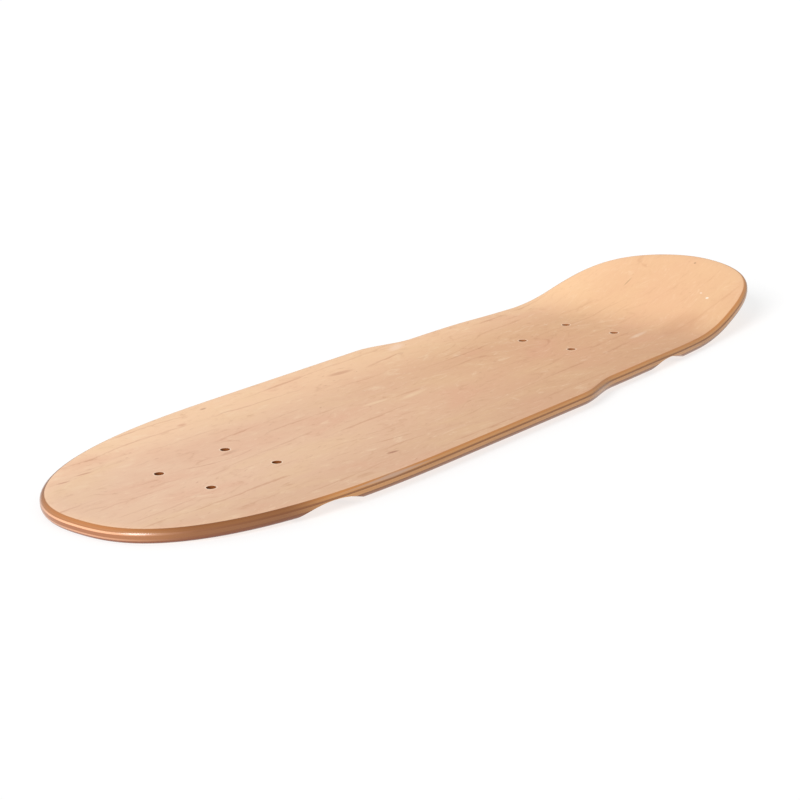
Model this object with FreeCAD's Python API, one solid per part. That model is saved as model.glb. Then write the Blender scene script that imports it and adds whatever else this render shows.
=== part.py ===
import FreeCAD, Part
import math
import os
from FreeCAD import Vector

# A bare skateboard deck: eight sheets of rotary-cut maple veneer, glued and
# pressed over a mould, then cut to outline, rounded at the rim, drilled for
# two trucks and scooped out over the wheels. Lengths are in millimetres.
# +X runs from the nose to the kicktail and +Z up. The origin is on the
# underside, on the centre line, midway between the trucks.

# Outline, seen from above
NOSE_REACH = 286.0          # from the origin to the tip of the nose
TAIL_REACH = 348.8          # from the origin to the tip of the tail
BODY_WIDTH = 192.0          # widest part, from the nose's rounding to the step
WAIST_WIDTH = 173.5         # width behind the step in the sides
BEND_END_WIDTH = 158.5      # width where the kicktail becomes straight
STEP_START = 56.5           # the sides start to draw in here
STEP_END = 105.0            # and the step ends here
TAPER_SHARE = 1.75          # how the width shrinks from there to the bend's end: 1 is evenly
NOSE_ROUND_START = -75.0    # the nose starts to round off here
TAIL_ROUND_START = 140.0    # the tail starts to round off here

# Pressed shape of the top face
FLAT_WIDTH = 28.0           # flat strip along the middle, on which the trucks sit
CONCAVE_RISE = 3.45         # rise of the sides at full body width
KICK_CONCAVE_RISE = 2.3     # the same on the kicktail
FADE_START = 147.5          # the concave starts to flatten here
FADE_END = 203.0            # and has its kicktail value from here on
KICK_START = 217.9          # the kicktail's bend starts here
KICK_RADIUS = 181.4         # bend radius of the top face
KICK_ANGLE = 14.76          # slope of the kicktail, in degrees

# Veneers and rim
FACE_VENEER = 1.07          # thickness of the two outer sheets
LONG_VENEER = 1.07          # thickness of an inner sheet with its grain along X
CROSS_VENEER = 1.07         # thickness of a sheet with its grain across the deck
RIM_ROUNDING = 3.9          # radius round the top and bottom edges
RIM_END_ANGLE = 72.0        # the rounding stops at this slope, in degrees

# Truck holes and wheel wells
TRUCK_SPACING = 355.6       # between the centres of the two hole patterns
HOLE_SPACING_LONG = 53.98   # hole to hole along the deck
HOLE_SPACING_WIDE = 41.3    # hole to hole across the deck
HOLE_RADIUS = 2.6
WELL_LENGTH = 50.0          # length of a wheel well at the side of the deck
WELL_DEPTH = 5.0            # its depth there
WELL_REACH = 36.0           # how far in from the side it runs out
WELL_SHIFT = 3.0            # how far it lies ahead of the hole pattern's centre

OVERRUN = 12.0              # by how much sheets and cutters pass the deck
RIM_MARGIN = 0.3            # by how much the rim's surface passes a sheet

# The rounded ends: the width falls as (1 - t**first)**(1/second)
NOSE_ROUND_SHARES = (2.80, 2.33)
TAIL_ROUND_SHARES = (9.0, 1.85)

# Sheets from the top face down, with the thickness of each
SHEETS = [
    ("top_face_veneer", FACE_VENEER),
    ("upper_long_veneer", LONG_VENEER),
    ("upper_cross_veneer", CROSS_VENEER),
    ("upper_core_veneer", LONG_VENEER),
    ("lower_core_veneer", LONG_VENEER),
    ("lower_cross_veneer", CROSS_VENEER),
    ("lower_long_veneer", LONG_VENEER),
    ("bottom_face_veneer", FACE_VENEER),
]
THICKNESS = sum(thickness for name, thickness in SHEETS)

# How many stations the curves and sheets are laid through
END_STATIONS = 16
SIDE_STATIONS = 24
FADE_STATIONS = 12
BEND_STATIONS = 8
WIDTH_STATIONS = 5
RIM_ROWS = 5
RING_EDGES = 8


def ease(value, start, end):
    """0 before start, 1 after end, and a smooth S between them."""
    t = min(max((value - start) / (end - start), 0.0), 1.0)
    return t * t * (3.0 - 2.0 * t)


def rounded_off(t, shares):
    """Share of the width that is left at t of the way to a tip."""
    t = min(max(t, 0.0), 1.0)
    return (1.0 - t ** shares[0]) ** (1.0 / shares[1])


def bend_end():
    """Where the kicktail's bend becomes its straight slope."""
    return KICK_START + KICK_RADIUS * math.sin(math.radians(KICK_ANGLE))


def half_width(x):
    """Half of the deck's width at x."""
    body = BODY_WIDTH / 2
    waist = WAIST_WIDTH / 2
    past_step = max(x - STEP_END, 0.0) / (bend_end() - STEP_END)
    width = body + (waist - body) * ease(x, STEP_START, STEP_END)
    width -= (waist - BEND_END_WIDTH / 2) * past_step ** TAPER_SHARE
    nose = (NOSE_ROUND_START - x) / (NOSE_ROUND_START + NOSE_REACH)
    tail = (x - TAIL_ROUND_START) / (TAIL_REACH - TAIL_ROUND_START)
    return width * rounded_off(nose, NOSE_ROUND_SHARES) * rounded_off(tail, TAIL_ROUND_SHARES)


def concave_rise(x):
    """Rise of the sides over the flat strip at x, at full body width."""
    return CONCAVE_RISE + (KICK_CONCAVE_RISE - CONCAVE_RISE) * ease(x, FADE_START, FADE_END)


def from_flat(y):
    """How far y lies outside the flat strip, as a share of the way to full body width."""
    return max(abs(y) - FLAT_WIDTH / 2, 0.0) / (BODY_WIDTH / 2 - FLAT_WIDTH / 2)


def top_height(x, y):
    """Height of the pressed top face: bend and slope of the tail, and the concave."""
    run = min(max(x - KICK_START, 0.0), bend_end() - KICK_START)
    bend = KICK_RADIUS - math.sqrt(KICK_RADIUS ** 2 - run ** 2)
    slope = max(x - bend_end(), 0.0) * math.tan(math.radians(KICK_ANGLE))
    return THICKNESS + bend + slope + concave_rise(x) * from_flat(y) ** 2


def into_deck(x, y):
    """Unit direction square to the top face at (x, y), into the deck."""
    run = min(max(x - KICK_START, 0.0), bend_end() - KICK_START)
    tail_slope = run / math.sqrt(KICK_RADIUS ** 2 - run ** 2)
    fading = min(max((x - FADE_START) / (FADE_END - FADE_START), 0.0), 1.0)
    fade_slope = 6.0 * fading * (1.0 - fading) / (FADE_END - FADE_START)
    along = tail_slope + (KICK_CONCAVE_RISE - CONCAVE_RISE) * fade_slope * from_flat(y) ** 2
    across = 2.0 * concave_rise(x) * from_flat(y) / (BODY_WIDTH / 2 - FLAT_WIDTH / 2)
    return Vector(along, math.copysign(across, y), -1.0).normalize()


def sheet_point(x, y, depth):
    """The point that lies depth under the top face at (x, y), square to that face."""
    return Vector(x, y, top_height(x, y)) + into_deck(x, y) * depth


def upright_point(x, y, depth):
    """The point straight below (x, y) on the sheet face at that depth."""
    return Vector(x, y, top_height(x, y) + depth / into_deck(x, y).z)


def closed_solid(faces):
    """Solid inside the faces, which meet edge to edge."""
    shell = Part.Shell(faces)
    shell.sewShape()
    solid = Part.Solid(shell)
    if solid.Volume < 0:
        solid.reverse()
    return solid


def steps(start, end, count):
    """Evenly spaced values from start to end."""
    return [start + (end - start) * i / count for i in range(count + 1)]


def curve_through(points, knots):
    """Smooth curve that meets each point at its knot."""
    curve = Part.BSplineCurve()
    curve.interpolate(Points=points, Parameters=knots)
    return curve


def patch(xs, ys, depth):
    """Smooth face at that depth over the stations xs along the deck and ys across it."""
    grid = [[sheet_point(x, y, depth) for y in ys] for x in xs]
    along = [curve_through(column, xs) for column in zip(*grid)]
    across = [curve_through(row, ys) for row in zip(*[curve.getPoles() for curve in along])]
    u, v = along[0], across[0]
    surface = Part.BSplineSurface()
    surface.buildFromPolesMultsKnots(
        [curve.getPoles() for curve in across], u.getMultiplicities(), v.getMultiplicities(),
        u.getKnots(), v.getKnots(), False, False, u.Degree, v.Degree)
    return surface.toShape()


def side_edge(face, y):
    """The edge of a patch that runs along the deck at y."""
    return min(face.Edges, key=lambda edge: max(abs(v.Y - y) for v in edge.Vertexes))


def glue_face(depth):
    """The pressed surface depth under the top face, wider than the deck all round.
    Its patches meet where the curvature jumps, and the middle of the body is one plane."""
    flat = FLAT_WIDTH / 2
    side = BODY_WIDTH / 2 + OVERRUN
    body = [[-NOSE_REACH - OVERRUN, FADE_START],
            steps(FADE_START, FADE_END, FADE_STATIONS) + [KICK_START]]
    tail = [steps(KICK_START, bend_end(), BEND_STATIONS), [bend_end(), TAIL_REACH + OVERRUN]]
    left, right = steps(-side, -flat, WIDTH_STATIONS), steps(flat, side, WIDTH_STATIONS)
    faces = [patch(xs, ys, depth) for ys in (left, right) for xs in body + tail]
    faces += [patch(xs, [-flat, flat], depth) for xs in tail]
    rails = [side_edge(faces[0], -flat), side_edge(faces[1], -flat),
             side_edge(faces[4], flat), side_edge(faces[5], flat)]
    ends = [Part.makeLine(sheet_point(x, -flat, depth), sheet_point(x, flat, depth))
            for x in (body[0][0], KICK_START)]
    shell = Part.Shell(faces + [Part.Face(Part.Wire(Part.__sortEdges__(rails + ends)))])
    shell.sewShape()
    return shell


def open_edges(shell):
    """The edges round the outside of a shell."""
    return [edge for edge in shell.Edges if len(shell.ancestorsOfType(edge, Part.Face)) == 1]


def pressed_slab(upper_depth, lower_depth):
    """Closed slab between two depths under the top face."""
    upper = glue_face(upper_depth)
    lower = glue_face(lower_depth)
    walls = []
    for edge in open_edges(upper):
        middle = edge.CenterOfMass
        below = min(open_edges(lower), key=lambda other: (other.CenterOfMass - middle).Length)
        walls.append(Part.makeRuledSurface(edge, below))
    return closed_solid(upper.Faces + lower.Faces + walls)


def end_stations(start, tip, shares):
    """Stations from start to tip, close together where the outline turns fastest."""
    left = [(END_STATIONS - k) / END_STATIONS for k in range(END_STATIONS + 1)]
    return [tip + (start - tip) * share ** shares[1] for share in left]


def outline_points():
    """The outline as points round the deck, each with the direction that leads inwards."""
    nose = end_stations(NOSE_ROUND_START, -NOSE_REACH, NOSE_ROUND_SHARES)
    tail = end_stations(TAIL_ROUND_START, TAIL_REACH, TAIL_ROUND_SHARES)
    step = (TAIL_ROUND_START - NOSE_ROUND_START) / SIDE_STATIONS
    sides = [NOSE_ROUND_START + k * step for k in range(1, SIDE_STATIONS)]
    stations = nose[::-1] + sides + tail
    there = [Vector(x, half_width(x), 0) for x in stations]
    back = [Vector(x, -half_width(x), 0) for x in stations[-2:0:-1]]
    points = there + back
    curve = Part.BSplineCurve()
    curve.interpolate(Points=points, PeriodicFlag=True)
    upright = Vector(0, 0, 1)
    return [(p, curve.tangent(curve.parameter(p))[0].cross(upright)) for p in points]


def ring(points, knots):
    """Smooth closed wire through the points, in RING_EDGES edges."""
    curve = Part.BSplineCurve()
    curve.interpolate(Points=points, PeriodicFlag=True, Parameters=knots)
    cuts = [knots[round(i * len(points) / RING_EDGES)] for i in range(RING_EDGES + 1)]
    return Part.Wire([Part.Edge(curve, a, b) for a, b in zip(cuts, cuts[1:])])


def rim_inset(depth):
    """How far the rounded rim lies inside the outline at a depth under the top face."""
    from_face = min(depth, THICKNESS - depth)
    steepest = math.radians(RIM_END_ANGLE)
    end_depth = RIM_ROUNDING * (1 - math.sin(steepest))
    if from_face < end_depth:
        end_inset = RIM_ROUNDING * (1 - math.cos(steepest))
        return end_inset + (end_depth - from_face) * math.tan(steepest)
    to_centre = max(RIM_ROUNDING - from_face, 0)
    return RIM_ROUNDING - math.sqrt(RIM_ROUNDING ** 2 - to_centre ** 2)


def rim_cutter(outline, upper_depth, lower_depth):
    """Closed block whose wall is the deck's rim between two depths, and a little past them."""
    top = upper_depth - RIM_MARGIN
    bottom = lower_depth + RIM_MARGIN
    step = (bottom - top) / (RIM_ROWS - 1)
    knots = [0.0]
    points = [here for here, inward in outline]
    for here, following in zip(points, points[1:] + points[:1]):
        knots.append(knots[-1] + (following - here).Length)
    rows = []
    for i in range(RIM_ROWS):
        depth = top + i * step
        inset = [here + inward * rim_inset(depth) for here, inward in outline]
        rows.append(ring([upright_point(p.x, p.y, depth) for p in inset], knots))
    highest = top_height(TAIL_REACH, BODY_WIDTH / 2) + OVERRUN
    ends = []
    for row, depth, height in ((rows[0], top, highest), (rows[-1], bottom, -OVERRUN)):
        flat = [here + inward * rim_inset(depth) + Vector(0, 0, height) for here, inward in outline]
        ends.append((row, ring(flat, knots)))
    faces = Part.makeLoft(rows, False, False).Faces
    for row, flat in ends:
        faces += Part.makeLoft([row, flat], False, True).Faces + [Part.Face(flat)]
    return closed_solid(faces)


def truck_holes():
    """Eight upright drills, four for each truck."""
    height = THICKNESS + CONCAVE_RISE + 2 * OVERRUN
    drills = []
    for truck in (-1, 1):
        for row in (-1, 1):
            for side in (-1, 1):
                x = truck * TRUCK_SPACING / 2 + row * HOLE_SPACING_LONG / 2
                y = side * HOLE_SPACING_WIDE / 2
                drills.append(Part.makeCylinder(HOLE_RADIUS, height, Vector(x, y, -OVERRUN)))
    return drills


def wheel_well(truck, side):
    """Drum that scoops out the underside over one wheel, deepest at the deck's side."""
    x = truck * TRUCK_SPACING / 2 - WELL_SHIFT
    rim_y = half_width(x)
    inner_y = rim_y - WELL_REACH
    deepest = top_height(x, rim_y) - THICKNESS + WELL_DEPTH
    shallow = top_height(x, inner_y) - THICKNESS
    radius = ((WELL_LENGTH / 2) ** 2 + WELL_DEPTH ** 2) / (2 * WELL_DEPTH)
    tilt = math.atan2(deepest - shallow, WELL_REACH)
    axis = Vector(0, side * math.cos(tilt), math.sin(tilt))
    below = Vector(0, side * math.sin(tilt), -math.cos(tilt))
    start = Vector(x, side * inner_y, shallow) + below * radius - axis * OVERRUN
    length = WELL_REACH / math.cos(tilt) + 2 * OVERRUN
    return Part.makeCylinder(radius, length, start, axis)


def sheets():
    """Each veneer: its slab between two glue faces, cut to the rim, drilled and scooped out."""
    outline = outline_points()
    wells = [wheel_well(truck, side) for truck in (-1, 1) for side in (-1, 1)]
    pieces = {}
    upper = 0
    for name, thickness in SHEETS:
        lower = upper + thickness
        blank = pressed_slab(upper, lower).common(rim_cutter(outline, upper, lower))
        pieces[name] = blank.cut(truck_holes() + wells).Solids[0]
        upper = lower
    return pieces


os.makedirs("parts", exist_ok=True)
for name, shape in sheets().items():
    shape.exportStep(os.path.join("parts", name + ".step"))
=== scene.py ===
import math

import bpy
from mathutils import Matrix, Vector


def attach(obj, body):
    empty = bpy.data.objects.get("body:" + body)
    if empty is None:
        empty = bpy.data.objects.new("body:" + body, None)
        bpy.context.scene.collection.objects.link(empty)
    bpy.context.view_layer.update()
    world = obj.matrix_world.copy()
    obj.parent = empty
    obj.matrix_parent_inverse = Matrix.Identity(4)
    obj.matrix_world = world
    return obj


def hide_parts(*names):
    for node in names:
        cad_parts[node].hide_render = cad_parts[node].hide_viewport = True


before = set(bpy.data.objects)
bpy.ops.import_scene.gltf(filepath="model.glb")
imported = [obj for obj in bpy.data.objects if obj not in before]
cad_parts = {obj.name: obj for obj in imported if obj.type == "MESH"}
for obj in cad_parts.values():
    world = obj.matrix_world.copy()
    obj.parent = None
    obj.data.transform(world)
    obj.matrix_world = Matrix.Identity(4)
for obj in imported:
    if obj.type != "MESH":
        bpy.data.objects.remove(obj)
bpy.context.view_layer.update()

# A bare skateboard deck of eight pressed maple veneers. The shapes below are worked out in
# millimetres, as in the part's source, and go into the meshes in metres.
MM = 0.001

# Outline, seen from above
NOSE_REACH = 286.0
TAIL_REACH = 348.8
BODY_WIDTH = 192.0
WAIST_WIDTH = 173.5
BEND_END_WIDTH = 158.5
STEP_START = 56.5
STEP_END = 105.0
TAPER_SHARE = 1.75
NOSE_ROUND_START = -75.0
TAIL_ROUND_START = 140.0
NOSE_ROUND_SHARES = (2.80, 2.33)
TAIL_ROUND_SHARES = (9.0, 1.85)

# Pressed shape of the standing face
FLAT_WIDTH = 28.0
CONCAVE_RISE = 3.45
KICK_CONCAVE_RISE = 2.3
FADE_START = 147.5
FADE_END = 203.0
KICK_START = 217.9
KICK_RADIUS = 181.4
KICK_ANGLE = math.radians(14.76)

# Veneers, from the standing face down, with the record's material slot of each
VENEER = 1.07
THICKNESS = 8.56
RIM_ROUNDING = 3.9
SHEETS = [
    ("top_face", "top_face_veneer", "face_maple"),
    ("upper_long_grain", "upper_long_veneer", "long_grain_maple"),
    ("upper_cross_grain", "upper_cross_veneer", "cross_grain_maple"),
    ("upper_core", "upper_core_veneer", "long_grain_maple"),
    ("lower_core", "lower_core_veneer", "long_grain_maple"),
    ("lower_cross_grain", "lower_cross_veneer", "cross_grain_maple"),
    ("lower_long_grain", "lower_long_veneer", "long_grain_maple"),
    ("bottom_face", "bottom_face_veneer", "face_maple"),
]

# Truck holes and wheel wells, whose cutters pass the deck by OVERRUN
TRUCK_X = 177.8
HOLE_X = 26.99
HOLE_Y = 20.65
HOLE_RADIUS = 2.6
HOLE_EASING = 0.35
WELL_LENGTH = 50.0
WELL_DEPTH = 5.0
WELL_REACH = 36.0
WELL_SHIFT = 3.0
OVERRUN = 12.0

# Step between the sheets in the patterns, so that each sheet shows its own stretch of wood
SHEET_STEP = 100.0

# How finely the sheets are laid: points round the outline, rows across a face and across a glue
# face, and rows at these angles round the rim, in degrees from its side, none nearer to a glue
# line than ROW_GAP. The rows run in to a spine along the middle of the deck.
STATIONS = 480
FACE_ROWS = 14
INNER_ROWS = 5
RIM_ANGLES = (90, 84, 76, 68, 60, 52, 44, 36, 28, 20, 12, 4)
ROW_GAP = 0.06
SPINE_START = -190.0
SPINE_END = 250.0

# The sockets of a Mix node that blends two colours, and its result
SHARE = 0
UNDER = 6
OVER = 7
BLEND = 2


def ease(value, start, end):
    """0 before start, 1 after end, and a smooth S between them."""
    t = min(max((value - start) / (end - start), 0.0), 1.0)
    return t * t * (3.0 - 2.0 * t)


def rounded_off(t, shares):
    """Share of the width that is left at t of the way to a tip."""
    t = min(max(t, 0.0), 1.0)
    return (1.0 - t ** shares[0]) ** (1.0 / shares[1])


BEND_END = KICK_START + KICK_RADIUS * math.sin(KICK_ANGLE)


def half_width(x):
    """Half of the deck's width at x."""
    body = BODY_WIDTH / 2
    waist = WAIST_WIDTH / 2
    past_step = max(x - STEP_END, 0.0) / (BEND_END - STEP_END)
    width = body + (waist - body) * ease(x, STEP_START, STEP_END)
    width -= (waist - BEND_END_WIDTH / 2) * past_step ** TAPER_SHARE
    nose = (NOSE_ROUND_START - x) / (NOSE_ROUND_START + NOSE_REACH)
    tail = (x - TAIL_ROUND_START) / (TAIL_REACH - TAIL_ROUND_START)
    return width * rounded_off(nose, NOSE_ROUND_SHARES) * rounded_off(tail, TAIL_ROUND_SHARES)


def from_flat(y):
    """How far y lies outside the flat strip, as a share of the way to full body width."""
    return max(abs(y) - FLAT_WIDTH / 2, 0.0) / (BODY_WIDTH / 2 - FLAT_WIDTH / 2)


def concave_rise(x):
    """Rise of the sides over the flat strip at x, at full body width."""
    return CONCAVE_RISE + (KICK_CONCAVE_RISE - CONCAVE_RISE) * ease(x, FADE_START, FADE_END)


def bend_run(x):
    """How far into the kicktail's bend x lies."""
    return min(max(x - KICK_START, 0.0), BEND_END - KICK_START)


def top_height(x, y):
    """Height of the standing face: bend and slope of the tail, and the concave."""
    bend = KICK_RADIUS - math.sqrt(KICK_RADIUS ** 2 - bend_run(x) ** 2)
    slope = max(x - BEND_END, 0.0) * math.tan(KICK_ANGLE)
    return THICKNESS + bend + slope + concave_rise(x) * from_flat(y) ** 2


def into_deck(x, y):
    """Direction square to the standing face at (x, y), into the deck."""
    tail_slope = bend_run(x) / math.sqrt(KICK_RADIUS ** 2 - bend_run(x) ** 2)
    fading = min(max((x - FADE_START) / (FADE_END - FADE_START), 0.0), 1.0)
    fade_slope = 6.0 * fading * (1.0 - fading) / (FADE_END - FADE_START)
    along = tail_slope + (KICK_CONCAVE_RISE - CONCAVE_RISE) * fade_slope * from_flat(y) ** 2
    across = 2.0 * concave_rise(x) * from_flat(y) / (BODY_WIDTH / 2 - FLAT_WIDTH / 2)
    return Vector((along, math.copysign(across, y), -1.0)).normalized()


def upright_height(x, y, depth):
    """Height of the sheet face at that depth, straight below (x, y) on the standing face."""
    return top_height(x, y) + depth / into_deck(x, y).z


def outline_stations():
    """Points evenly spaced round the outline from the nose's tip, each with its inward direction."""
    fine = 3000
    nose = [-NOSE_REACH + (NOSE_ROUND_START + NOSE_REACH) * (k / fine) ** NOSE_ROUND_SHARES[1]
            for k in range(fine)]
    sides = [NOSE_ROUND_START + (TAIL_ROUND_START - NOSE_ROUND_START) * k / fine for k in range(fine)]
    tail = [TAIL_REACH + (TAIL_ROUND_START - TAIL_REACH) * (1 - k / fine) ** TAIL_ROUND_SHARES[1]
            for k in range(fine + 1)]
    half = [Vector((x, half_width(x))) for x in nose + sides + tail]
    run = [0.0]
    for here, following in zip(half, half[1:]):
        run.append(run[-1] + (following - here).length)
    count = STATIONS // 2
    left = []
    k = 0
    for i in range(count + 1):
        wanted = run[-1] * i / count
        while k < len(run) - 2 and run[k + 1] < wanted:
            k += 1
        share = (wanted - run[k]) / (run[k + 1] - run[k])
        point = half[k].lerp(half[k + 1], share)
        tangent = (half[min(k + 2, len(half) - 1)] - half[max(k - 1, 0)]).normalized()
        inward = Vector((tangent.y, -tangent.x))
        if i == 0:
            inward = Vector((1.0, 0.0))
        if i == count:
            inward = Vector((-1.0, 0.0))
        left.append((point, inward))
    mirror = Vector((1.0, -1.0))
    right = [(point * mirror, inward * mirror) for point, inward in left[-2:0:-1]]
    return left + right


def rim_rows(upper, lower):
    """(depth, inset) of each row of the rim between two depths under the standing face."""
    depths = [RIM_ROUNDING * (1 - math.sin(math.radians(angle))) for angle in RIM_ANGLES]
    depths += [RIM_ROUNDING, THICKNESS / 2]
    depths += [THICKNESS - depth for depth in depths]
    inside = sorted({round(d, 4) for d in depths if upper + ROW_GAP < d < lower - ROW_GAP})
    rows = []
    for depth in [upper] + inside + [lower]:
        from_face = min(depth, THICKNESS - depth)
        to_centre = max(RIM_ROUNDING - from_face, 0.0)
        rows.append((depth, RIM_ROUNDING - math.sqrt(RIM_ROUNDING ** 2 - to_centre ** 2)))
    return rows


def deselect_all():
    if bpy.context.mode != "OBJECT":
        bpy.ops.object.mode_set(mode="OBJECT")
    bpy.ops.object.select_all(action="DESELECT")


def named(name):
    """The object that an operator has just made, under its name."""
    piece = bpy.context.object
    piece.name = name
    piece.data.name = name
    return piece


def veneer_sheet(name, number, stations):
    """One veneer: a flat grid wrapped round its section, from the middle over the upper glue
    face, down the rim and back under the lower glue face, and pressed to the mould's shape."""
    upper = number * VENEER
    lower = upper + VENEER
    rim = rim_rows(upper, lower)
    top_rows = FACE_ROWS if number == 0 else INNER_ROWS
    bottom_rows = FACE_ROWS if number == len(SHEETS) - 1 else INNER_ROWS
    section = [(k / top_rows, rim[0]) for k in range(top_rows)]
    section += [(1.0, row) for row in rim]
    section += [(1 - k / bottom_rows, rim[-1]) for k in range(1, bottom_rows + 1)]

    deselect_all()
    rows = len(section) - 1
    bpy.ops.mesh.primitive_grid_add(x_subdivisions=STATIONS, y_subdivisions=rows, size=2)
    piece = named(name)
    for vertex in piece.data.vertices:
        station = round((vertex.co.x + 1) / 2 * STATIONS) % STATIONS
        share, (depth, inset) = section[round((vertex.co.y + 1) / 2 * rows)]
        point, inward = stations[station]
        rim_point = point + inward * inset
        spine = Vector((min(max(rim_point.x, SPINE_START), SPINE_END), 0.0))
        x, y = spine.lerp(rim_point, share)
        vertex.co = Vector((x, y, upright_height(x, y, depth))) * MM
    bpy.ops.object.mode_set(mode="EDIT")
    bpy.ops.mesh.select_all(action="SELECT")
    bpy.ops.mesh.remove_doubles(threshold=0.00002)
    bpy.ops.mesh.dissolve_degenerate(threshold=0.00001)
    bpy.ops.mesh.normals_make_consistent(inside=False)
    bpy.ops.object.mode_set(mode="OBJECT")
    return piece


def truck_drill(x, y):
    """A drill for one bolt hole, which flares where the hole's upper edge is eased."""
    top = top_height(x, y)
    low = -OVERRUN
    high = top - HOLE_EASING
    deselect_all()
    bpy.ops.mesh.primitive_cylinder_add(
        vertices=64, radius=HOLE_RADIUS * MM, depth=(high - low) * MM,
        location=(x * MM, y * MM, (high + low) / 2 * MM))
    drill = named("drill")
    bpy.ops.object.transform_apply(location=True, rotation=True, scale=True)
    bpy.ops.object.mode_set(mode="EDIT")
    bpy.ops.mesh.select_all(action="DESELECT")
    bpy.ops.object.mode_set(mode="OBJECT")
    top_cap = max(drill.data.polygons, key=lambda face: face.center.z)
    top_cap.select = True
    bpy.ops.object.mode_set(mode="EDIT")
    flare = 1 + HOLE_EASING / HOLE_RADIUS
    for _ in range(2):
        bpy.ops.mesh.extrude_region_move(TRANSFORM_OT_translate={"value": (0, 0, HOLE_EASING * MM)})
        bpy.ops.transform.resize(value=(flare, flare, 1), center_override=(x * MM, y * MM, 0))
    bpy.ops.object.mode_set(mode="OBJECT")
    return drill


def wheel_drum(truck, side):
    """The drum that scoops out one wheel well, deepest at the deck's side."""
    x = truck * TRUCK_X - WELL_SHIFT
    rim_y = half_width(x)
    inner_y = rim_y - WELL_REACH
    deepest = top_height(x, rim_y) - THICKNESS + WELL_DEPTH
    shallow = top_height(x, inner_y) - THICKNESS
    radius = ((WELL_LENGTH / 2) ** 2 + WELL_DEPTH ** 2) / (2 * WELL_DEPTH)
    tilt = math.atan2(deepest - shallow, WELL_REACH)
    axis = Vector((0.0, side * math.cos(tilt), math.sin(tilt)))
    below = Vector((0.0, side * math.sin(tilt), -math.cos(tilt)))
    length = WELL_REACH / math.cos(tilt) + 2 * OVERRUN
    middle = Vector((x, side * inner_y, shallow)) + below * radius + axis * (length / 2 - OVERRUN)
    deselect_all()
    bpy.ops.mesh.primitive_cylinder_add(vertices=512, radius=radius * MM, depth=length * MM)
    drum = named("drum")
    turn = Vector((0.0, 0.0, 1.0)).rotation_difference(axis).to_matrix().to_4x4()
    drum.matrix_world = Matrix.Translation(middle * MM) @ turn
    bpy.ops.object.transform_apply(location=True, rotation=True, scale=True)
    return drum


def joined(name, parts):
    """The parts as one object."""
    deselect_all()
    for part in parts:
        part.select_set(True)
    bpy.context.view_layer.objects.active = parts[0]
    bpy.ops.object.join()
    return named(name)


def cut_away(piece, cutter):
    """Takes the cutter's shape out of the piece."""
    deselect_all()
    piece.select_set(True)
    bpy.context.view_layer.objects.active = piece
    cut = piece.modifiers.new("cut", "BOOLEAN")
    cut.operation = "DIFFERENCE"
    cut.solver = "EXACT"
    cut.object = cutter
    bpy.ops.object.modifier_apply(modifier=cut.name)


def note_flat_place(piece, number):
    """Keeps on each vertex where it was in the flat, unpressed veneer, in millimetres: how far
    along the sheet, how far across it, and how deep in it, with a step more for each sheet."""
    flat = piece.data.attributes.new("flat_veneer", "FLOAT_VECTOR", "POINT")
    for vertex, place in zip(piece.data.vertices, flat.data):
        x, y, z = vertex.co / MM
        run = KICK_RADIUS * math.asin(bend_run(x) / KICK_RADIUS)
        along = min(x, KICK_START) + run + max(x - BEND_END, 0.0) / math.cos(KICK_ANGLE)
        depth = (top_height(x, y) - z) * -into_deck(x, y).z
        place.vector = (along, y, depth + number * (SHEET_STEP - VENEER))


def colour(code):
    """An sRGB hex colour as the linear values that Blender works with."""
    shares = [int(code[i:i + 2], 16) / 255 for i in (1, 3, 5)]
    linear = [s / 12.92 if s <= 0.04045 else ((s + 0.055) / 1.055) ** 2.4 for s in shares]
    return (*linear, 1.0)


def add(tree, kind, inputs, **settings):
    """Adds a node with its settings. Each input is a value or another node's output."""
    node = tree.nodes.new(kind)
    for name, value in settings.items():
        setattr(node, name, value)
    for socket, value in inputs.items():
        if isinstance(value, bpy.types.NodeSocket):
            tree.links.new(value, node.inputs[socket])
        else:
            node.inputs[socket].default_value = value
    return node


def oval(tree, place, spot, size, turn, edge):
    """1 inside an oval on the flat sheet, fading to 0 at its outline from edge of the way out."""
    centred = add(tree, "ShaderNodeMapping", {
        "Vector": place, "Location": (*spot, 0), "Rotation": (0, 0, math.radians(turn)),
        "Scale": (*size, OVAL_DEPTH)}, vector_type="TEXTURE")
    distance = add(tree, "ShaderNodeVectorMath", {0: centred.outputs[0]}, operation="LENGTH")
    return add(tree, "ShaderNodeMapRange", {
        "Value": distance.outputs["Value"], "From Min": 1.0, "From Max": edge},
        interpolation_type="SMOOTHSTEP").outputs[0]


def coated(tree, base, shapes, coats):
    """The base colour under coats of other tones, each laid where its pattern is between two
    values, up to a strength."""
    for pattern, low, high, strength, tone in coats:
        amount = add(tree, "ShaderNodeMapRange", {
            "Value": shapes[pattern], "From Min": low, "From Max": high, "To Max": strength},
            interpolation_type="SMOOTHSTEP")
        base = add(tree, "ShaderNodeMix", {
            SHARE: amount.outputs[0], UNDER: base, OVER: colour(tone)},
            data_type="RGBA").outputs[BLEND]
    return base


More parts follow.
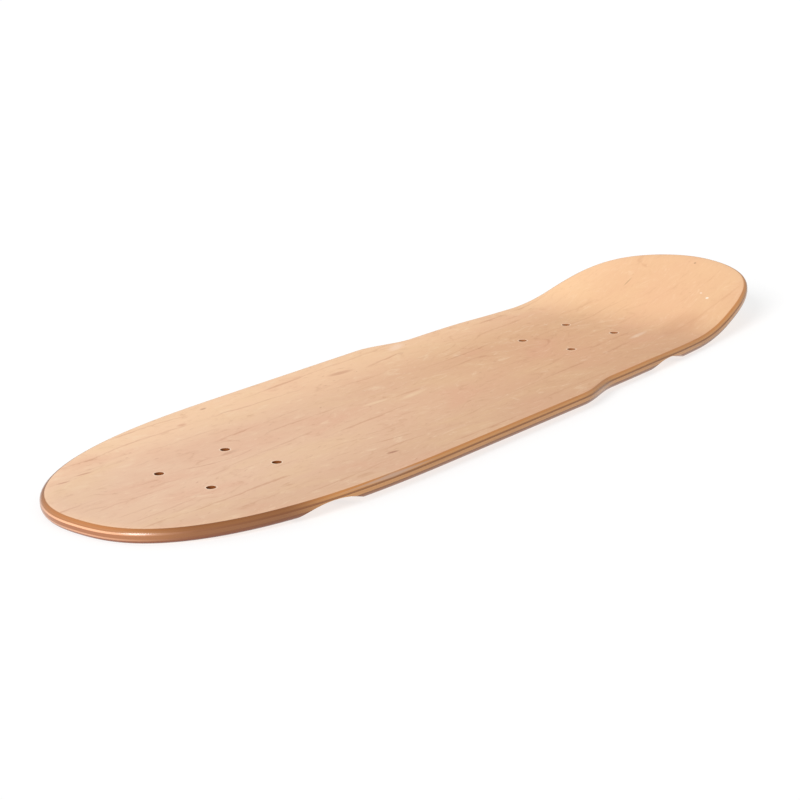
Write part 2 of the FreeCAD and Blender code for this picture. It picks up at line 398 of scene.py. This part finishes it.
def grain_patterns(tree, place, grain_axis):
    """The patterns of one sheet. The grain wanders sideways with the first pattern, and all the
    others wander with it."""
    patterns = {}
    source = place
    for name, (size, detail, roughness, distortion) in PATTERNS.items():
        scale = [1 / size[grain_axis], 1 / size[1 - grain_axis], 1 / size[2]]
        sized = add(tree, "ShaderNodeMapping", {"Vector": source, "Scale": scale})
        patterns[name] = add(tree, "ShaderNodeTexNoise", {
            "Vector": sized.outputs[0], "Scale": 1.0, "Detail": detail, "Roughness": roughness,
            "Distortion": distortion}).outputs[0]
        if source is place:
            sideways = add(tree, "ShaderNodeVectorMath", {
                0: (WANDER * grain_axis, WANDER * (1 - grain_axis), 0.0), "Scale": patterns[name]},
                operation="SCALE")
            source = add(tree, "ShaderNodeVectorMath", {0: place, 1: sideways.outputs[0]},
                         operation="ADD").outputs[0]
    return patterns


def growth_rings(tree, place, shapes):
    """Growth rings as thin lines along the grain, which waver, fade in and out, and bend round
    the places where the trunk bulged. High on a line, low between two."""
    count = add(tree, "ShaderNodeMath", {0: shapes["across"], 1: RING_GAP}, operation="DIVIDE")
    for name, swing in RING_SWINGS.items():
        count = add(tree, "ShaderNodeMath", {0: shapes[name], 1: swing, 2: count.outputs[0]},
                    operation="MULTIPLY_ADD")
    for spot, size, turn in BULGES:
        raised = oval(tree, place, spot, size, turn, 0.0)
        count = add(tree, "ShaderNodeMath", {0: raised, 1: BULGE, 2: count.outputs[0]},
                    operation="MULTIPLY_ADD")
    line = add(tree, "ShaderNodeMath", {0: count.outputs[0], 1: 1.0}, operation="PINGPONG")
    return add(tree, "ShaderNodeMath", {0: line.outputs[0], 1: RING_WEIGHT, 2: shapes["stretch"]},
               operation="MULTIPLY_ADD").outputs[0]


def hole_distance(tree, place):
    """How far a point is from the axis of the nearest bolt hole."""
    offset = place
    for operation, amount in (("ABSOLUTE", None), ("SUBTRACT", (TRUCK_X, HOLE_Y, 0)),
                              ("ABSOLUTE", None), ("SUBTRACT", (HOLE_X, 0, 0)),
                              ("MULTIPLY", (1, 1, 0))):
        inputs = {0: offset} if amount is None else {0: offset, 1: amount}
        offset = add(tree, "ShaderNodeVectorMath", inputs, operation=operation).outputs[0]
    return add(tree, "ShaderNodeVectorMath", {0: offset}, operation="LENGTH").outputs["Value"]


def from_stretch(tree, along, middle):
    """How far a point lies along the deck from the middle of a stretch of the rim."""
    ahead = add(tree, "ShaderNodeMath", {0: along, 1: middle}, operation="SUBTRACT")
    return add(tree, "ShaderNodeMath", {0: ahead.outputs[0]}, operation="ABSOLUTE").outputs[0]


def from_streak(tree, along, through, middle):
    """As from_stretch, for the painted highlight streak, which lies at one depth under the standing
    face and narrows away from it. A point's depth comes from its place in its own sheet."""
    steps = add(tree, "ShaderNodeMath", {0: through, 1: SHEET_STEP}, operation="DIVIDE")
    number = add(tree, "ShaderNodeMath", {0: steps.outputs[0]}, operation="FLOOR")
    depth = add(tree, "ShaderNodeMath", {
        0: number.outputs[0], 1: VENEER - SHEET_STEP, 2: through}, operation="MULTIPLY_ADD")
    below = add(tree, "ShaderNodeMath", {0: depth.outputs[0], 1: HIGHLIGHT_STREAK_DEPTH}, operation="SUBTRACT")
    off_depth = add(tree, "ShaderNodeMath", {0: below.outputs[0]}, operation="ABSOLUTE")
    return add(tree, "ShaderNodeMath", {
        0: off_depth.outputs[0], 1: HIGHLIGHT_STREAK_NARROWING, 2: from_stretch(tree, along, middle)},
        operation="MULTIPLY_ADD").outputs[0]


def share_of_edge(tree, along, normal):
    """0 where the surface lies level with the pressed faces, also on the sloping kicktail, and
    1 where it has turned away to the rim or to a bored wall."""
    lean = add(tree, "ShaderNodeMapRange", {
        "Value": along, "From Min": KICK_START, "From Max": KICK_START + KICK_RADIUS * KICK_ANGLE,
        "To Max": -KICK_ANGLE}).outputs[0]
    lengthways = add(tree, "ShaderNodeMath", {0: lean}, operation="SINE").outputs[0]
    upward = add(tree, "ShaderNodeMath", {0: lean}, operation="COSINE").outputs[0]
    square = add(tree, "ShaderNodeCombineXYZ", {"X": lengthways, "Z": upward})
    agreed = add(tree, "ShaderNodeVectorMath", {0: normal, 1: square.outputs[0]},
                 operation="DOT_PRODUCT")
    unsigned = add(tree, "ShaderNodeMath", {0: agreed.outputs["Value"]}, operation="ABSOLUTE")
    return add(tree, "ShaderNodeMapRange", {
        "Value": unsigned.outputs[0], "From Min": LEVEL, "From Max": TURNED},
        interpolation_type="SMOOTHSTEP").outputs[0]


def maple(name, grain_axis, tones, marks=()):
    """Maple veneer under a clear coat, coloured in layers over the tone that it is cut to show:
    face, side of the grain or end of the grain. grain_axis is 0 for grain along the deck and 1
    for grain across it."""
    material = bpy.data.materials.new(name)
    material.use_nodes = True
    tree = material.node_tree
    shader = tree.nodes["Principled BSDF"]
    shader.inputs["IOR"].default_value = 1.5
    shader.inputs["Specular IOR Level"].default_value = 0.45
    place = add(tree, "ShaderNodeAttribute", {}, attribute_name="flat_veneer").outputs["Vector"]
    normal = add(tree, "ShaderNodeTexCoord", {}).outputs["Normal"]
    along, across, through = add(tree, "ShaderNodeSeparateXYZ", {0: place}).outputs

    shapes = grain_patterns(tree, place, grain_axis)
    shapes["along"] = along
    shapes["across"] = across
    shapes["through"] = through
    shapes["ring"] = growth_rings(tree, place, shapes)
    shapes["from_hole"] = hole_distance(tree, place)
    # The rear holes are put out of reach, so that only the front ones are near
    rear = add(tree, "ShaderNodeMath", {0: along, 1: 0.0}, operation="GREATER_THAN").outputs[0]
    shapes["from_front_hole"] = add(tree, "ShaderNodeMath", {
        0: rear, 1: TRUCK_X, 2: shapes["from_hole"]}, operation="MULTIPLY_ADD").outputs[0]
    # distances from the middles of the rim's painted shade stretch and painted highlight streak
    shapes["from_shaded_rim"] = from_stretch(tree, along, SHADED_RIM_X)
    shapes["from_highlight_streak"] = from_streak(tree, along, through, HIGHLIGHT_STREAK_X)

    on_edge = share_of_edge(tree, along, normal)
    facing = add(tree, "ShaderNodeSeparateXYZ", {0: normal}).outputs[grain_axis]
    end_on = add(tree, "ShaderNodeMath", {0: facing, 1: 2.0}, operation="POWER").outputs[0]
    edge = add(tree, "ShaderNodeMix", {
        SHARE: end_on, UNDER: colour(tones[1]), OVER: colour(tones[2])},
        data_type="RGBA").outputs[BLEND]
    body = add(tree, "ShaderNodeMix", {
        SHARE: on_edge, UNDER: coated(tree, colour(tones[0]), shapes, FACE_LAYERS),
        OVER: coated(tree, edge, shapes, EDGE_LAYERS)}, data_type="RGBA").outputs[BLEND]
    for spot, size, turn, strength, tone in marks:
        amount = add(tree, "ShaderNodeMath", {
            0: oval(tree, place, spot, size, turn, MARK_CORE), 1: strength}, operation="MULTIPLY")
        body = add(tree, "ShaderNodeMix", {
            SHARE: amount.outputs[0], UNDER: body, OVER: colour(tone)},
            data_type="RGBA").outputs[BLEND]
    tree.links.new(body, shader.inputs["Base Color"])

    gloss = add(tree, "ShaderNodeMapRange", {
        "Value": on_edge, "To Min": FACE_ROUGHNESS, "To Max": RIM_ROUGHNESS})
    tree.links.new(gloss.outputs[0], shader.inputs["Roughness"])
    bump = add(tree, "ShaderNodeBump", {
        "Height": shapes["fibre"], "Distance": FIBRE_HEIGHT * MM, "Strength": 0.5})
    tree.links.new(bump.outputs[0], shader.inputs["Normal"])
    return material


# The clear coat: thin and dull on the faces, where the fibres stand through it a little, and
# thick and glossy round the rim
FACE_ROUGHNESS = 0.70
RIM_ROUGHNESS = 0.24
FIBRE_HEIGHT = 0.03

# How far the surface agrees with the pressed faces' direction, where it still counts as level
# and where it has turned away to the rim
LEVEL = 0.995
TURNED = 0.94

# Patterns of rotary-cut maple: their size in millimetres along the grain, across it and through
# the sheets, then detail, roughness and distortion. Real fibres are a few hundredths of a
# millimetre wide, too fine to show, so the finest pattern stands for bundles of them. WANDER is
# how far the grain strays sideways.
PATTERNS = {
    "patch": ((90, 40, 60), 4.0, 0.55, 0.6),
    "growth": ((230, 50, 77), 3.0, 0.42, 0.35),
    "stretch": ((70, 14, 40), 2.0, 0.5, 0.4),
    "figure": ((20, 7.5, 40), 5.0, 0.62, 1.3),
    "fibre": ((11, 2.3, 4), 3.0, 0.6, 1.0),
    "fleck": ((8, 2.4, 30), 1.0, 0.5, 0.3),
    "streak": ((34, 34, 1.2), 2.0, 0.5, 0.2),
}
WANDER = 26.0

# Growth rings: half the distance from line to line, how strongly two patterns push the lines
# aside, their weight against the pattern that fades them, how many of those half distances a
# bulge shifts them, and the bulges, each with its place, half lengths and turn
RING_GAP = 8.0
RING_SWINGS = {"growth": 4.5, "figure": 0.6}
RING_WEIGHT = 1.2
BULGE = 3.0
BULGES = [
    ((139.0, 4.0), (62.0, 22.0), -4),
    ((92.0, 52.0), (58.0, 22.0), 6),
    ((-152.0, 18.0), (42.0, 20.0), 4),
    ((-38.0, -40.0), (70.0, 30.0), -5),
    ((300.0, 20.0), (55.0, 30.0), 0),
]

# Bulges and marks are ovals in the top sheet: how far they reach through the sheets, and the
# share of a mark's size that has its full strength
OVAL_DEPTH = 20.0
MARK_CORE = 0.3

# Two stretches of the rim with painted light, with their middles along the deck: a darker one,
# painted shade where the rim faces away from the light, and a greyish one, a painted highlight on the
# glossy rim. The painted highlight lies at one depth, and each millimetre off that shortens it at
# both ends.
SHADED_RIM_X = -234.0
HIGHLIGHT_STREAK_X = -134.0
HIGHLIGHT_STREAK_DEPTH = 1.35
HIGHLIGHT_STREAK_NARROWING = 36.0

# Coats on the faces: (pattern, value where it starts, value where it is full, strength, tone).
# The face turns from pinkish cream at the nose to golden toward the kicktail. The kicktail is painted
# lighter still, as painted light where its slope faces the lamp, and across the deck one side is
# painted darker and the other paler, as painted shade and painted light where the concave's sides
# tilt away from and toward the light. Over that come rosy and creamy patches, a mottled ripple, the
# fibres, ring lines, reddish flecks, a pale ring round each bolt hole, and a calmer grain on the
# kicktail.
FACE_LAYERS = [
    ("along", -230, 190, 1.0, "#dbab84"),
    # painted light: the kicktail lighter, where its slope faces the lamp
    ("along", 205, 262, 0.75, "#e3b78e"),
    # painted shade on one side and painted light on the other, where the concave tilts away from and
    # toward the light
    ("across", -10, -85, 0.40, "#cb9d79"),
    ("across", 25, 90, 0.56, "#ffd7af"),
    ("patch", 0.48, 0.72, 0.30, "#dda185"),
    ("patch", 0.52, 0.28, 0.26, "#e8c697"),
    ("figure", 0.54, 0.80, 0.42, "#bc8661"),
    ("figure", 0.46, 0.22, 0.40, "#f8dfbe"),
    ("fibre", 0.56, 0.80, 0.24, "#b98662"),
    ("fibre", 0.44, 0.24, 0.20, "#f8e2c4"),
    ("ring", 1.56, 1.90, 0.38, "#b16b47"),
    ("fleck", 0.70, 0.82, 0.34, "#a8664a"),
    ("from_hole", 4.0, 3.2, 0.50, "#ffe9d0"),
    ("along", 196, 262, 0.42, "#dfb389"),
]

# Coats on the rim and in the bores: painted shade on a stretch of the rim that faces away from the
# light, painted light on the rim toward the tail, thin lines along the sheets, a greyish painted
# highlight streak, painted shade on the three lowest sheets, and painted shade on the walls of the
# bolt holes, darker in the front ones. "through" starts a new hundred with each sheet below the top
# one.
EDGE_LAYERS = [
    # painted shade: the stretch of the rim that faces away from the light
    ("from_shaded_rim", 62, 20, 0.78, "#6e3f20"),
    # painted light: the rim lighter toward the tail
    ("along", 250, 335, 0.30, "#d29a68"),
    ("streak", 0.5, 0.8, 0.35, "#7d4f30"),
    # painted highlight: a greyish streak of reflection on the glossy rim
    ("from_highlight_streak", 52, 14, 0.66, "#b99e8e"),
    # painted shade: the lowest sheets' edges darker, where the underside of the rim is in shade
    ("through", 495, 505, 0.56, "#7a3c18"),
    ("through", 595, 605, 0.76, "#702f0c"),
    # painted shade: the bore walls darkened as shade in the holes, darker in the front holes
    ("from_hole", 3.2, 2.8, 1.0, "#96623d"),
    ("from_front_hole", 3.2, 2.8, 1.0, "#7c4722"),
]

# Single marks that the photo shows on the standing face: place along and across the sheet, half
# lengths, turn in degrees, strength and tone
MARKS = [
    ((-231.5, 53.9), (8.0, 1.3), -8, 0.42, "#a8573f"),
    ((-248.9, 52.0), (6.0, 1.1), -8, 0.42, "#a8573f"),
    ((-134.5, 72.8), (5.0, 2.6), 0, 0.30, "#b5654b"),
    ((-104.4, 84.3), (4.0, 1.6), 5, 0.44, "#96604a"),
    ((-101.3, -66.7), (6.0, 2.0), -10, 0.60, "#96523c"),
    ((-154.2, 14.5), (10.0, 2.4), 0, 0.30, "#a87456"),
    ((9.9, 69.4), (15.0, 3.6), -6, 0.38, "#b06c50"),
    ((-26.0, 9.0), (16.0, 3.0), -6, 0.30, "#fbe3bc"),
    ((2.0, 1.0), (20.0, 3.4), 4, 0.26, "#fbe3bc"),
    ((81.0, 79.0), (14.0, 5.0), 15, 0.42, "#f9dcc6"),
    ((296.0, 25.2), (9.0, 0.6), 5, 0.60, "#a07a58"),
    ((338.9, -8.8), (1.5, 1.1), 0, 0.70, "#8a6549"),
    # painted shade: a darker patch where the bend to the kicktail turns from the light
    ((242.0, -54.0), (36.0, 17.0), 8, 0.40, "#c99470"),
    ((208.2, -38.6), (16.0, 3.0), 4, 0.36, "#f3dcc4"),
    ((294.8, -39.4), (1.6, 1.2), 40, 0.40, "#fff6ea"),
    ((288.5, -48.1), (1.9, 1.6), 20, 0.72, "#fff6ea"),
]

# The three veneers, each with its tones for the face, the side of the grain and its end
finishes = {
    # Pale, dull face sheets with the grain along the deck: they give the standing face its warm
    # cream with rosy patches and thin ring lines
    "face_maple": maple("rotary_cut_maple_face", 0, ("#e8c1a3", "#bc7e46", "#9e6146"), MARKS),
    # Core sheets with the grain along the deck: golden brown bands on the sides of the rim,
    # darker where the rim rounds the nose and the tail
    "long_grain_maple": maple("long_grain_maple_core", 0, ("#dbab84", "#c18b58", "#956041")),
    # Core sheets with the grain across: their end grain draws the dark lines along the sides of
    # the rim, and their side grain the light bands round the nose
    "cross_grain_maple": maple("cross_grain_maple_core", 1, ("#dbab84", "#dfa884", "#85562f")),
}

# The eight sheets, each drilled and scooped out by one cutter
stations = outline_stations()
drills = [truck_drill(truck * TRUCK_X + row * HOLE_X, side * HOLE_Y)
          for truck in (-1, 1) for row in (-1, 1) for side in (-1, 1)]
drums = [wheel_drum(truck, side) for truck in (-1, 1) for side in (-1, 1)]
cutter = joined("cutter", drills + drums)

for number, (name, node, slot) in enumerate(SHEETS):
    sheet = veneer_sheet(name, number, stations)
    cut_away(sheet, cutter)
    note_flat_place(sheet, number)
    deselect_all()
    sheet.select_set(True)
    bpy.context.view_layer.objects.active = sheet
    bpy.ops.object.shade_smooth_by_angle(angle=math.radians(35))
    sheet.data.materials.append(finishes[slot])
    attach(sheet, "root")
    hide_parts(node)

bpy.data.objects.remove(cutter)

# Floor: matt white paper, lit from below like a photographer's table, so that the deck's shadow
# stays as pale as the photo's background
deselect_all()
bpy.ops.mesh.primitive_plane_add(size=14)
floor = named("floor")
paper = bpy.data.materials.new("lit_white_paper")
paper.use_nodes = True
surface = paper.node_tree.nodes["Principled BSDF"].inputs
surface["Base Color"].default_value = colour("#909090")
surface["Roughness"].default_value = 0.9
surface["Emission Color"].default_value = colour("#ffffff")
surface["Emission Strength"].default_value = 0.71
floor.data.materials.append(paper)

# Light: an even white room, and a large soft light from the side of the nose
world = bpy.data.worlds.new("studio")
world.use_nodes = True
room = world.node_tree.nodes["Background"].inputs
room["Color"].default_value = colour("#ffffff")
room["Strength"].default_value = 0.52
bpy.context.scene.world = world
LIGHT_AZIMUTH = math.radians(8.0)
LIGHT_ELEVATION = math.radians(27.0)
toward = Vector((-math.cos(LIGHT_AZIMUTH) * math.cos(LIGHT_ELEVATION),
                 -math.sin(LIGHT_AZIMUTH) * math.cos(LIGHT_ELEVATION), math.sin(LIGHT_ELEVATION)))
bpy.ops.object.light_add(type="SUN", location=toward)
soft = bpy.context.object
soft.name = "soft_light"
soft.data.angle = math.radians(24.0)
soft.data.energy = 3.5
soft.rotation_euler = toward.to_track_quat("Z", "Y").to_euler()

# Camera at the photograph's angle. It looks at a point a little left of and below the middle of
# the standing face, as the picture shows it.
AZIMUTH = math.radians(-50.62)
ELEVATION = math.radians(16.49)
ROLL = math.radians(-1.46)
AIM_RIGHT = -7.79
AIM_UP = -3.01
DISTANCE = 1234.15
back = Vector((math.sin(AZIMUTH) * math.cos(ELEVATION), -math.cos(AZIMUTH) * math.cos(ELEVATION),
               math.sin(ELEVATION)))
right = Vector((0.0, 0.0, 1.0)).cross(back).normalized()
up = back.cross(right)
turned_right = right * math.cos(ROLL) + up * math.sin(ROLL)
turned_up = up * math.cos(ROLL) - right * math.sin(ROLL)
aim = Vector((0.0, 0.0, THICKNESS)) + turned_right * AIM_RIGHT + turned_up * AIM_UP
stand = aim + back * DISTANCE
bpy.ops.object.camera_add()
camera = bpy.context.object
camera.name = "camera"
camera.matrix_world = Matrix.Translation(stand * MM) @ Matrix(
    (turned_right, turned_up, back)).transposed().to_4x4()
camera.data.sensor_width = 36.0
camera.data.lens = 86.686
bpy.context.scene.camera = camera
bpy.context.scene.view_settings.view_transform = "Standard"
